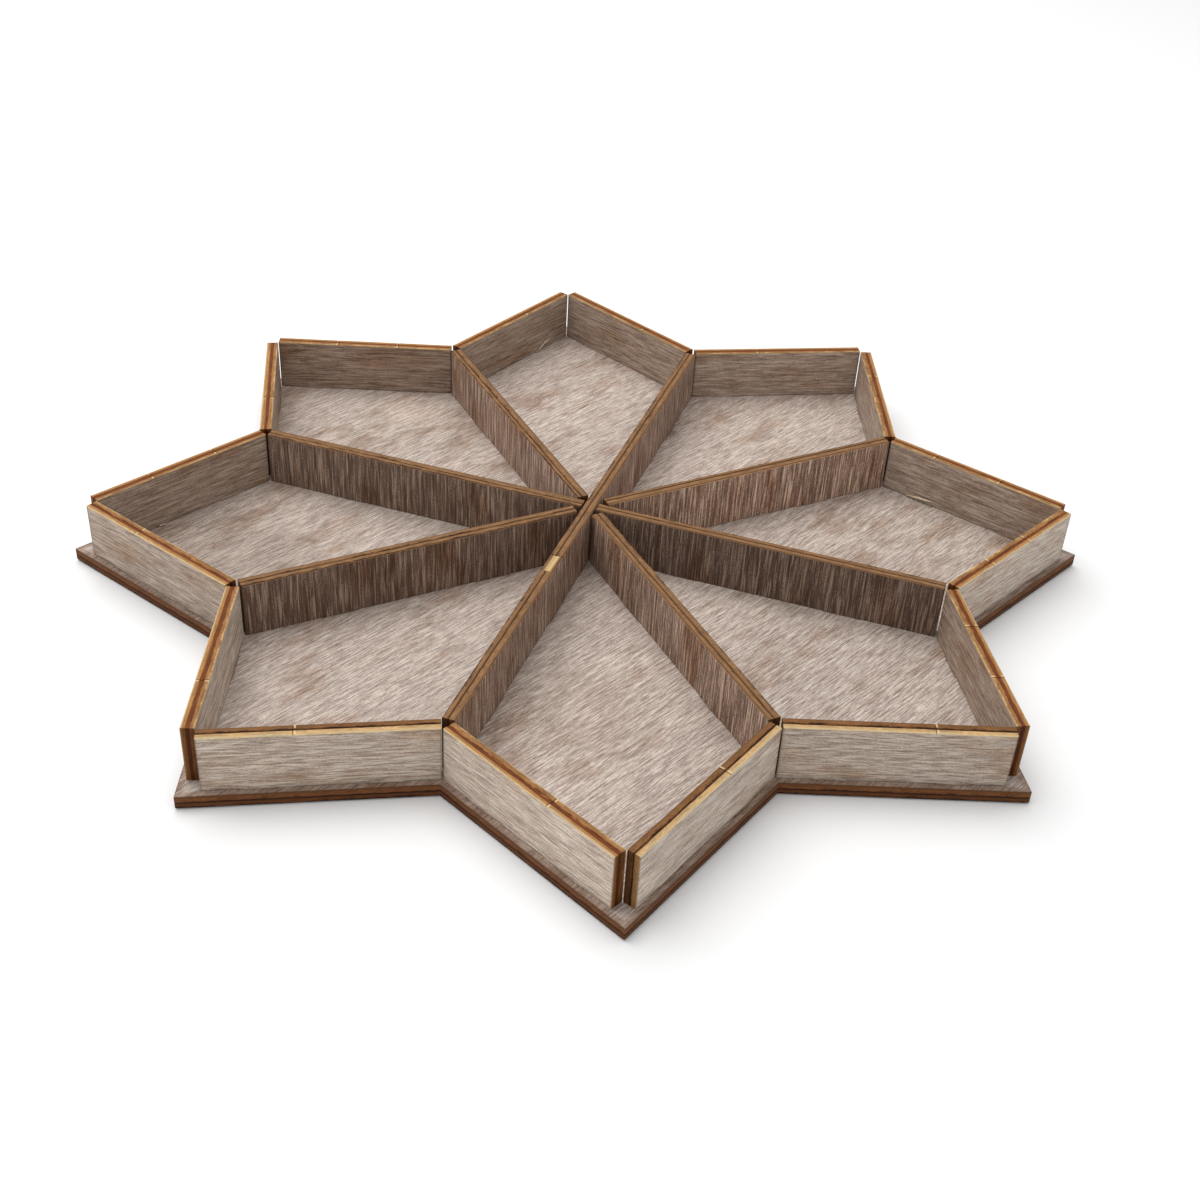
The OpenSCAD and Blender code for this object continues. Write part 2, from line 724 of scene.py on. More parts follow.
class SheetCutter(Generator):
    """Geometry Nodes tree that turns cut lines into a three-layer plywood piece."""

    def __init__(self, ply: Ply, sheet: float) -> None:
        """Build the tree.

        Args:
            ply: The look of the cut edges.
            sheet: Thickness of the sheet.
        """
        super().__init__("cut_plywood_sheet", (
            ("Cut lines", "NodeSocketGeometry", None),
            ("Wobble", "NodeSocketFloat", ply.wobble),
            ("Core middle", "NodeSocketFloat", ply.core_middle),
            ("Core width", "NodeSocketFloat", ply.core_width),
            ("Seed", "NodeSocketFloat", 0.0),
            ("Grain angle", "NodeSocketFloat", 0.0),
            ("Pattern start", "NodeSocketVector", (0.0, 0.0, 0.0)),
            # The outer and inner shade inputs are colour factors for the two faces: partly the wood's own
            # tone, partly painted light and shade.
            ("Outer shade", "NodeSocketFloat", 1.0),
            ("Inner shade", "NodeSocketFloat", 1.0),
            ("Turn", "NodeSocketRotation", None),
            ("Place", "NodeSocketVector", (0.0, 0.0, 0.0)),
            ("Face finish", "NodeSocketMaterial", None),
            ("Edge finish", "NodeSocketMaterial", None),
        ))
        self.sheet = sheet
        self.ply = ply
        self.given = self.board.add("NodeGroupInput").outputs
        self._build()

    def _build(self) -> None:
        """Lay out the tree: ragged cut line, stepped edge, two filled faces, then the place."""
        b = self.board
        given = self.given
        plain = b.store(given["Cut lines"], "plain", b.position(), "FLOAT_VECTOR")
        ragged = self._ragged(plain)
        flat = b.store(ragged, "flat", b.position(), "FLOAT_VECTOR")
        rings = self.ply.rings()
        start = self._at_ring(flat, None, rings[0])
        band, newest = start, None
        for ring in rings[1:]:
            inputs = {"Mesh": band, "Offset Scale": 0.0}
            if newest is not None:
                inputs["Selection"] = newest
            extruded = b.add("GeometryNodeExtrudeMesh", inputs, mode="EDGES")
            newest = extruded.outputs["Top"]
            band = self._at_ring(extruded.outputs["Mesh"], newest, ring)
        steep = b.math("LESS_THAN", b.attribute("border"), 0.999)
        edge = b.dressed(band, given["Edge finish"])
        edge = b.dressed(edge, given["Face finish"], self._on_face(steep))
        loop = b.add("GeometryNodeMeshToCurve", {"Mesh": b.welded(start)}).outputs[0]
        fill = b.add("GeometryNodeFillCurve", {"Curve": loop}).outputs[0]
        first = b.add("GeometryNodeFlipFaces", {"Mesh": fill}).outputs[0]
        lift = {"Geometry": fill, "Translation": (0.0, 0.0, self.sheet)}
        last = b.add("GeometryNodeTransform", lift).outputs[0]
        faces = b.dressed(b.join(first, last), given["Face finish"])
        b.give(self._placed(b.welded(b.join(edge, faces))))

    def _on_face(self, point_value: bpy.types.NodeSocket) -> bpy.types.NodeSocket:
        """Whether any corner of a face has a value above nought."""
        b = self.board
        field = b.add(
            "GeometryNodeFieldOnDomain", {0: point_value}, data_type="FLOAT", domain="FACE"
        ).outputs[0]
        return b.add(
            "FunctionNodeCompare", {0: field, 1: 0.01}, data_type="FLOAT", operation="GREATER_THAN"
        ).outputs[0]

    def _ragged(self, lines: bpy.types.NodeSocket) -> bpy.types.NodeSocket:
        """Waver the cut line inwards, less at a nick and more at a crack."""
        b = self.board
        slow = b.noise(self._seeded(), self.ply.wobble_scale, 3.0)
        inset = b.math("MULTIPLY_ADD", slow, self.given["Wobble"], self.ply.inset)
        inset = self._held(inset)
        inset = b.math("MULTIPLY_ADD", b.attribute("nick"), -self.ply.nick_proud, inset)
        inset = b.math("MULTIPLY_ADD", b.attribute("crack"), self.ply.crack_depth, inset)
        offset = b.vector("SCALE", b.attribute("inward", "FLOAT_VECTOR"), inset)
        return b.add("GeometryNodeSetPosition", {"Geometry": lines, "Offset": offset}).outputs[0]

    def _held(self, inset: bpy.types.NodeSocket) -> bpy.types.NodeSocket:
        """An inset made smaller on the cut edges marked darker: all but the top edge of an upright, and every
        edge of the plate.
        """
        b = self.board
        share = b.math("MULTIPLY_ADD", b.attribute("scorch_and_shade"), -self.ply.burnt_hold, 1.0)
        return b.math("MULTIPLY", inset, share)

    def _seeded(self) -> bpy.types.NodeSocket:
        """Position with the piece's seed as a third coordinate."""
        b = self.board
        return b.vector("ADD", b.position(), b.xyz(0.0, 0.0, self.given["Seed"]))

    def _height(self, ring: Ring) -> object:
        """Height of a ring through the sheet."""
        b = self.board
        if ring.layer in (0.0, 0.3):
            return ring.rise
        if ring.layer in (2.8, 3.0):
            return self.sheet + ring.rise
        side = -0.5 if ring.layer < 1.5 else 0.5
        edge = b.math("MULTIPLY_ADD", self.given["Core width"], side, self.given["Core middle"])
        slow = b.noise(self._seeded(), self.ply.core_waver_scale, 2.0)
        swing = self.ply.core_waver
        waver = b.math("MULTIPLY_ADD", slow, swing, ring.rise - swing / 2)
        return b.math("ADD", edge, waver)

    def _at_ring(
        self,
        band: bpy.types.NodeSocket,
        chosen: bpy.types.NodeSocket | None,
        ring: Ring,
    ) -> bpy.types.NodeSocket:
        """Move the newest ring of points into place and store what the finishes need."""
        b = self.board
        if ring.border:
            start = b.attribute("flat", "FLOAT_VECTOR")
            spot = b.vector("ADD", start, b.xyz(0.0, 0.0, ring.layer * 3.0))
            rough = b.math("MULTIPLY", b.noise(spot, self.ply.rough_scale, 2.0), ring.rough)
            inset = self._held(b.math("ADD", rough, ring.inset))
            side = b.vector("SCALE", b.attribute("inward", "FLOAT_VECTOR"), inset)
        else:
            start = b.attribute("plain", "FLOAT_VECTOR")
            side = b.attribute("ring", "FLOAT_VECTOR")
        moved = b.vector("ADD", side, b.xyz(0.0, 0.0, self._height(ring)))
        inputs = {"Geometry": band, "Position": b.vector("ADD", start, moved)}
        if chosen is not None:
            inputs["Selection"] = chosen
        band = b.add("GeometryNodeSetPosition", inputs).outputs[0]
        band = b.store(band, "layer", ring.layer, "FLOAT", chosen)
        return b.store(band, "border", ring.border, "FLOAT", chosen)

    def _placed(self, piece: bpy.types.NodeSocket) -> bpy.types.NodeSocket:
        """Store the grain's coordinates and the shade of each face, a colour factor that is partly the wood's
        own tone and partly painted light and shade, then stand the piece up.
        """
        b = self.board
        here = b.position()
        turned = b.add(
            "ShaderNodeVectorRotate",
            {"Vector": here, "Angle": b.math("MULTIPLY", self.given["Grain angle"], -1.0)},
            rotation_type="Z_AXIS",
        ).outputs[0]
        grain = b.vector("ADD", turned, self.given["Pattern start"])
        piece = b.store(piece, "grain_co", grain, "FLOAT_VECTOR")
        depth = b.math("DIVIDE", b.add("ShaderNodeSeparateXYZ", {0: here}).outputs[2], self.sheet)
        tones_and_light = {0: depth, 2: self.given["Outer shade"], 3: self.given["Inner shade"]}
        shade = b.add("ShaderNodeMix", tones_and_light, data_type="FLOAT").outputs[0]
        piece = b.store(piece, "shade", shade, "FLOAT")
        return b.add(
            "GeometryNodeTransform",
            {"Geometry": piece, "Translation": self.given["Place"], "Rotation": self.given["Turn"]},
        ).outputs[0]

    def cut(self, name: str, outline: CutOutline, values: dict[str, object]) -> bpy.types.Object:
        """Cut one piece and turn the result into a plain mesh.

        Args:
            name: Name of the piece.
            outline: Its cut lines.
            values: Input name to value, for the inputs that differ from the tree's own.

        Returns:
            A new object with a closed mesh in its final place.
        """
        return self.run(name, outline.mesh(name + "_lines"), values, self.ply.crease)


def close_shell(mesh: bpy.types.Mesh, crease: float) -> None:
    """Point every face outwards, keep creases crisp and say so if an edge is left open.

    Args:
        mesh: The mesh to put right in place.
        crease: Faces that meet at more than this angle keep a sharp edge between them.
    """
    work = bmesh.new()
    work.from_mesh(mesh)
    bmesh.ops.recalc_face_normals(work, faces=work.faces)
    open_edges = 0
    for edge in work.edges:
        if len(edge.link_faces) == 2:
            edge.smooth = edge.calc_face_angle(math.pi) < crease
        else:
            open_edges += 1
            edge.smooth = False
    for face in work.faces:
        face.smooth = True
    work.to_mesh(mesh)
    work.free()
    if open_edges:
        LOG.warning("%s has %d open edges", mesh.name, open_edges)


# --------------------------------------------------------------------------- finishes


def colour(red: float, green: float, blue: float) -> tuple[float, float, float, float]:
    """A display colour of 0 to 255 as the linear colour that a shader takes."""

    def linear(value: float) -> float:
        """One channel as linear light."""
        share = value / 255
        return share / 12.92 if share <= 0.04045 else ((share + 0.055) / 1.055) ** 2.4

    return (linear(red), linear(green), linear(blue), 1.0)


@dataclass(frozen=True)
class Surface:
    """How a finish takes the light, with the strength and the depth of its bumps."""

    roughness: float
    specular: float
    strength: float
    depth: float = 0.1 * MM


class Finish:
    """Shared steps of a procedural finish."""

    def _start(self, name: str) -> tuple[bpy.types.Material, Board, bpy.types.Node]:
        """A new material with its board and its main shader."""
        material = bpy.data.materials.new(name)
        material.use_nodes = True
        board = Board(material.node_tree)
        return material, board, material.node_tree.nodes["Principled BSDF"]

    @staticmethod
    def _number(b: Board, name: str) -> bpy.types.NodeSocket:
        """A number that the sheet generator stored."""
        return b.add("ShaderNodeAttribute", attribute_name=name).outputs["Fac"]

    @staticmethod
    def _grain(b: Board, along: float, across: float, shift: float = 0.0) -> bpy.types.NodeSocket:
        """Grain coordinates scaled apart along and across the grain."""
        co = b.add("ShaderNodeAttribute", attribute_name="grain_co").outputs["Vector"]
        scaled = b.vector("MULTIPLY", co, (along, across, across))
        return b.vector("ADD", scaled, (shift, 0.7 * shift, 0.0)) if shift else scaled

    @staticmethod
    def _ramp(
        b: Board, fac: bpy.types.NodeSocket, stops: Sequence[tuple[float, Colour]]
    ) -> bpy.types.NodeSocket:
        """A colour ramp through the given stops."""
        node = b.add("ShaderNodeValToRGB", {0: fac})
        ramp = node.color_ramp
        while len(ramp.elements) < len(stops):
            ramp.elements.new(1.0)
        for element, (place, value) in zip(ramp.elements, stops):
            element.position = place
            element.color = colour(*value)
        return node.outputs[0]

    @staticmethod
    def _mix(
        b: Board, fac: object, first: object, second: object, blend: str = "MIX"
    ) -> bpy.types.NodeSocket:
        """Two colours mixed by a factor."""
        node = b.add("ShaderNodeMix", data_type="RGBA", blend_type=blend)
        for index, value in ((0, fac), (6, first), (7, second)):
            if isinstance(value, bpy.types.NodeSocket):
                b.tree.links.new(value, node.inputs[index])
            else:
                node.inputs[index].default_value = value
        return node.outputs[2]

    @staticmethod
    def _range(
        b: Board,
        value: bpy.types.NodeSocket,
        low: float,
        high: float,
        to_low: float = 0.0,
        to_high: float = 1.0,
    ) -> bpy.types.NodeSocket:
        """A value between two limits mapped smoothly to two others."""
        inputs = {0: value, 1: low, 2: high, 3: to_low, 4: to_high}
        return b.add("ShaderNodeMapRange", inputs, interpolation_type="SMOOTHSTEP").outputs[0]

    def _tinted(self, b: Board, base: object, tint: object) -> bpy.types.NodeSocket:
        """A colour multiplied by another."""
        return self._mix(b, 1.0, base, tint, "MULTIPLY")

    @staticmethod
    def _surface(
        b: Board,
        shader: bpy.types.Node,
        base: bpy.types.NodeSocket,
        height: bpy.types.NodeSocket,
        surface: Surface,
    ) -> None:
        """Lead the colour and the bumps into the main shader."""
        b.tree.links.new(base, shader.inputs["Base Color"])
        shader.inputs["Roughness"].default_value = surface.roughness
        shader.inputs["Specular IOR Level"].default_value = surface.specular
        inputs = {"Height": height, "Strength": surface.strength, "Distance": surface.depth}
        bump = b.add("ShaderNodeBump", inputs)
        b.tree.links.new(bump.outputs[0], shader.inputs["Normal"])


@dataclass(frozen=True)
class WashedVeneer(Finish):
    """Face veneer under a thin grey wash: fine light and dark dashes along the grain."""

    name: str
    groove: Colour
    middle: Colour
    streak: Colour
    stain: Colour
    bare: Colour
    along: float = 120.0
    across: float = 2300.0
    fleck: float = 1800.0
    spread: float = 0.12
    dashes: float = 0.72
    surface: Surface = Surface(0.62, 0.25, 0.45)

    def make(self) -> bpy.types.Material:
        """Build the material.

        Returns:
            The new material.
        """
        material, b, shader = self._start(self.name)
        wide = b.noise(self._grain(b, self.along, self.across), detail=3.0, rough=0.65)
        fine = b.noise(self._grain(b, self.along * 2.6, self.across * 2.0, 3.3), rough=0.6)
        fleck = b.noise(self._grain(b, self.fleck, self.fleck * 1.6, 8.1), detail=3.0, rough=0.7)
        body = b.math("MULTIPLY_ADD", fine, 0.32, b.math("MULTIPLY", fleck, 0.26))
        body = b.math("MULTIPLY_ADD", wide, 0.42, body)
        tone = b.add("ShaderNodeMapRange", {0: body, 1: 0.5 - self.spread, 2: 0.5 + self.spread}).outputs[0]
        base = self._ramp(b, tone, [(0.0, self.groove), (0.5, self.middle), (1.0, self.streak)])
        dash = b.noise(self._grain(b, self.along * 1.5, self.across * 1.3, 11.7), detail=1.0)
        light = b.math("MULTIPLY", self._range(b, dash, 0.58, 0.68), self.dashes)
        base = self._mix(b, light, base, colour(*self.streak))
        pore = b.noise(self._grain(b, self.along * 1.9, self.across * 1.5, 27.1), detail=1.0)
        dark = self._range(b, pore, 0.6, 0.7)
        base = self._mix(b, b.math("MULTIPLY", dark, 0.8 * self.dashes), base, colour(*self.groove))
        cloud = b.noise(self._grain(b, 45.0, 130.0, 5.9), detail=4.0, rough=0.62)
        stained = self._tinted(b, base, colour(*self.stain))
        base = self._mix(b, self._range(b, cloud, 0.5, 0.68), base, stained)
        drift = self._range(b, b.noise(self._grain(b, 9.0, 28.0, 15.3), detail=2.0), 0.3, 0.7, 0.93, 1.06)
        base = self._edged(b, self._aged(b, base))
        # Scale the colour by the stored face shade, partly the wood's own tone and partly painted light and
        # shade; darker faces also turn browner.
        drift = b.math("MULTIPLY", drift, self._number(b, "shade"))
        dark_side = b.math("MINIMUM", self._number(b, "shade"), 1.0)
        green = b.math("MULTIPLY", drift, b.math("POWER", dark_side, 0.3))
        blue = b.math("MULTIPLY", drift, b.math("POWER", dark_side, 0.5))
        shade = b.add("ShaderNodeCombineColor", {0: drift, 1: green, 2: blue}).outputs[0]
        base = self._tinted(b, base, shade)
        height = b.math("MULTIPLY_ADD", dark, -0.4, body)
        self._surface(b, shader, base, height, self.surface)
        return material

    def _aged(self, b: Board, base: bpy.types.NodeSocket) -> bpy.types.NodeSocket:
        """Marks that only some pieces have; none here."""
        return base

    def _edged(self, b: Board, base: bpy.types.NodeSocket) -> bpy.types.NodeSocket:
        """Bare chips where the wash broke off along an edge, and a dark band along every cut edge but the top
        one, partly smoky scorch and partly painted shade at the feet and ends of the uprights.
        """
        border = self._number(b, "border")
        scorch_and_shade = self._number(b, "scorch_and_shade")
        ragged = b.noise(self._grain(b, 260.0, 900.0, 41.3), detail=3.0, rough=0.6)
        reach = b.math("ADD", border, b.math("MULTIPLY", ragged, 0.9))
        chipped = self._range(b, reach, 0.98, 1.25)
        chipped = b.math("MULTIPLY", chipped, self._range(b, scorch_and_shade, 0.6, 0.1))
        base = self._mix(b, chipped, base, colour(*self.bare))
        # A dark band on the face along every cut edge but the top one: partly smoky scorch, partly painted
        # shade at the feet and ends of the uprights.
        smoke_and_shade = b.math("MULTIPLY", self._range(b, border, 0.1, 1.0), b.math("MULTIPLY", scorch_and_shade, 0.55))
        return self._mix(b, smoke_and_shade, base, colour(74, 60, 46))


@dataclass(frozen=True)
class FloorPatch:
    """A round patch of the floor whose colour is scaled by its gain: darker below 1, lighter above it."""

    place: Point
    radius: float
    gain: float


@dataclass(frozen=True)
class PlateVeneer(WashedVeneer):
    """Veneer of the star plate: darker on the ledge outside the walls, partly smoky scorch and partly painted
    shade at the foot of the outer walls, with a few round patches inside them made darker or lighter.
    """

    plan: StarPlan | None = None
    floor_patches: tuple[FloorPatch, ...] = ()
    smoke_and_shade: Colour = (222, 208, 198)

    def _aged(self, b: Board, base: bpy.types.NodeSocket) -> bpy.types.NodeSocket:
        """Darken the ledge along the rim, partly smoky scorch and partly painted shade at the foot of the
        outer walls, then scale the round patches.
        """
        here = b.add("ShaderNodeTexCoord").outputs["Object"]
        ragged = b.noise(self._grain(b, 70.0, 320.0, 51.7), detail=3.0, rough=0.6)
        waver = b.math("MULTIPLY_ADD", ragged, 0.8 * MM, self._from_rim(b, here))
        rim = self._range(b, waver, self.plan.ledge + 0.7 * MM, self.plan.ledge - 0.1 * MM)
        # Painted shade at the foot of the outer walls, partly smoky scorch too: the ledge is tinted darker.
        smoked_and_shaded = self._tinted(b, base, colour(*self.smoke_and_shade))
        base = self._mix(b, rim, base, smoked_and_shaded)
        for floor_patch in self.floor_patches:
            gap = b.vector("LENGTH", b.vector("SUBTRACT", here, (*floor_patch.place, self.plan.sheet)))
            inside = self._range(b, gap, floor_patch.radius, 0.3 * floor_patch.radius)
            inside = b.math("MULTIPLY", inside, self._range(b, ragged, 0.25, 0.6, 0.6, 1.0))
            gain = floor_patch.gain
            patch_tone = self._tinted(b, base, (gain, 0.97 * gain, 0.94 * gain, 1.0))
            base = self._mix(b, inside, base, patch_tone)
        return base

    def _from_rim(self, b: Board, here: bpy.types.NodeSocket) -> bpy.types.NodeSocket:
        """Distance from the star's rim, on one folded half of a point."""
        plan = self.plan
        x, y = b.add("ShaderNodeSeparateXYZ", {0: here}).outputs[:2]
        radius = b.math("SQRT", b.math("ADD", b.math("MULTIPLY", x, x), b.math("MULTIPLY", y, y)))
        angle = b.math("SUBTRACT", b.math("ARCTAN2", y, x), plan.point_angle(0))
        angle = b.math("PINGPONG", angle, plan.step / 2)
        out = b.math("MULTIPLY", radius, b.math("COSINE", angle))
        aside = b.math("MULTIPLY", radius, b.math("SINE", angle))
        short = b.math("MULTIPLY", b.math("SUBTRACT", plan.tip_r, out), math.sin(plan.half_tip))
        return b.math("SUBTRACT", short, b.math("MULTIPLY", aside, math.cos(plan.half_tip)))


@dataclass(frozen=True)
class LaserEdge(Finish):
    """Cut edge of the sheet: toasted outer layers round a sunken core, streaked along the cut."""

    name: str
    first_arris: Colour
    first: Colour
    core: Colour
    second: Colour
    second_arris: Colour
    scorch_and_shade_tint: Colour = (196, 180, 160)
    streaks: float = 0.3
    surface: Surface = Surface(0.68, 0.12, 0.35, 0.08 * MM)

    def make(self) -> bpy.types.Material:
        """Build the material.

        Returns:
            The new material.
        """
        material, b, shader = self._start(self.name)
        layer = self._number(b, "layer")
        run = self._number(b, "run")
        seed = b.add("ShaderNodeAttribute", attribute_name="grain_co").outputs["Vector"]
        seed = b.math("MULTIPLY", b.add("ShaderNodeSeparateXYZ", {0: seed}).outputs[2], 9.0)
        slow = b.noise(b.xyz(b.math("MULTIPLY", run, 240.0), b.math("MULTIPLY", layer, 1.3), seed), rough=0.6)
        spot = b.xyz(b.math("MULTIPLY", run, 900.0), b.math("MULTIPLY", layer, 5.0), seed)
        quick = b.noise(spot, detail=3.0)
        sway = b.math("MULTIPLY_ADD", slow, 0.9, -0.45)
        sway = b.math("ADD", sway, b.math("MULTIPLY_ADD", quick, 0.6, -0.3))
        across = b.math("DIVIDE", b.math("ADD", layer, sway), 3.0)
        base = self._ramp(b, across, [
            (0.06, self.first_arris),
            (0.15, self.first),
            (0.30, self.first),
            (0.38, self.core),
            (0.62, self.core),
            (0.70, self.second),
            (0.87, self.second),
            (0.95, self.second_arris),
        ])
        streak = self._range(b, quick, 0.35, 0.65)
        grey = b.math("MULTIPLY_ADD", streak, self.streaks, 1.0 - 0.6 * self.streaks)
        grey = b.math("MULTIPLY", grey, self._range(b, slow, 0.32, 0.68, 0.74, 1.1))
        tone = b.add("ShaderNodeCombineColor", dict.fromkeys((0, 1, 2), grey)).outputs[0]
        base = self._tinted(b, base, tone)
        # Darker on every cut edge but the top one: partly scorch, partly painted shade on the ends and lower
        # edges; the top edge stays lighter as painted light from above.
        scorch_and_shade_tint = self._tinted(b, base, colour(*self.scorch_and_shade_tint))
        base = self._mix(b, self._number(b, "scorch_and_shade"), base, scorch_and_shade_tint)
        base = self._marked(b, base, layer)
        self._surface(b, shader, base, quick, self.surface)
        return material

    def _marked(
        self, b: Board, base: bpy.types.NodeSocket, layer: bpy.types.NodeSocket
    ) -> bpy.types.NodeSocket:
        """Pale nicks on the outer layers, dark cracks, and a pale patch that was never burnt."""
        off_core = self._range(b, b.math("ABSOLUTE", b.math("SUBTRACT", layer, 1.5)), 0.5, 0.9)
        nick = b.math("MULTIPLY", b.math("MULTIPLY", self._number(b, "nick"), off_core), 0.6)
        base = self._mix(b, nick, base, colour(222, 196, 150))
        centred = self._range(b, b.math("ABSOLUTE", b.math("SUBTRACT", layer, 1.6)), 0.95, 0.75)
        bare = b.math("MULTIPLY", self._number(b, "bare"), centred)
        base = self._mix(b, bare, base, colour(182, 154, 110))
        crack = b.math("MULTIPLY", self._number(b, "crack"), 0.6)
        return self._mix(b, crack, base, colour(84, 54, 30))


@dataclass(frozen=True)
class BareFibre(Finish):
    """Raw wood of a loose splinter."""

    name: str = "bare_fibre"
    dark: Colour = (150, 126, 102)
    light: Colour = (214, 194, 168)
    scale: float = 2400.0
    surface: Surface = Surface(0.7, 0.5, 0.4)

    def make(self) -> bpy.types.Material:
        """Build the material.

        Returns:
            The new material.
        """
        material, b, shader = self._start(self.name)
        here = b.add("ShaderNodeTexCoord").outputs["Object"]
        grain = b.noise(here, self.scale, 3.0)
        tone = self._ramp(b, grain, [(0.35, self.dark), (0.62, self.light)])
        self._surface(b, shader, tone, grain, self.surface)
        return material


# --------------------------------------------------------------------------- sub-assemblies


@dataclass
class Finishes:
    """The materials of the tray, made once."""

    floor: bpy.types.Material
    wall: bpy.types.Material
    divider: bpy.types.Material
    cream_edge: bpy.types.Material
    rust_edge: bpy.types.Material
    tan_edge: bpy.types.Material
    base_edge: bpy.types.Material

    @classmethod
    def make(cls, plan: StarPlan) -> "Finishes":
        """Build every finish of the tray.

        Args:
            plan: The tray's sizes.

        Returns:
            The finishes.
        """
        wood = (206, 180, 134)
        floor_patches = (
            FloorPatch((-91 * MM, -4 * MM), 34 * MM, 0.7),
            FloorPatch((-4 * MM, -62 * MM), 22 * MM, 0.86),
            FloorPatch((62 * MM, -8 * MM), 16 * MM, 0.9),
            FloorPatch((27.0 * MM, 59.0 * MM), 3.0 * MM, 0.5),
            FloorPatch((-45 * MM, 70 * MM), 12 * MM, 1.12),
        )
        floor = PlateVeneer(
            "floor_veneer", (112, 97, 87), (162, 147, 137), (203, 191, 180), (226, 214, 204), wood,
            plan=plan, floor_patches=floor_patches,
        )
        wall = WashedVeneer(
            "wall_veneer", (132, 115, 102), (176, 160, 146), (214, 202, 188), (234, 220, 206), wood,
            along=100.0, across=1900.0, spread=0.1,
        )
        divider = WashedVeneer(
            "divider_veneer", (58, 44, 36), (88, 70, 59), (146, 127, 113), (226, 206, 188), (150, 114, 78),
            along=55.0, across=1700.0, dashes=0.8,
        )
        return cls(
            floor=floor.make(),
            wall=wall.make(),
            divider=divider.make(),
            cream_edge=LaserEdge(
                "cream_cut_edge", (206, 184, 144), (178, 144, 100), (52, 26, 8), (116, 78, 44), (98, 68, 40)
            ).make(),
            rust_edge=LaserEdge(
                "rust_cut_edge", (204, 178, 136), (156, 112, 66), (104, 54, 22), (142, 100, 60),
                (170, 140, 98),
            ).make(),
            tan_edge=LaserEdge(
                "tan_cut_edge", (72, 50, 34), (124, 90, 58), (74, 48, 28), (126, 92, 60), (82, 58, 38)
            ).make(),
            base_edge=LaserEdge(
                "base_cut_edge", (44, 26, 14), (104, 66, 38), (58, 32, 16), (124, 82, 50), (96, 64, 40),
                (236, 226, 216),
            ).make(),
        )


@dataclass(frozen=True)
class PieceLook:
    """What sets one upright apart from its neighbours."""

    edge: bpy.types.Material
    outer_tone_and_light: float = 1.0
    inner_tone_and_shade: float = 1.0
    core_middle: float = 1.5 * MM
    core_width: float = 0.62 * MM


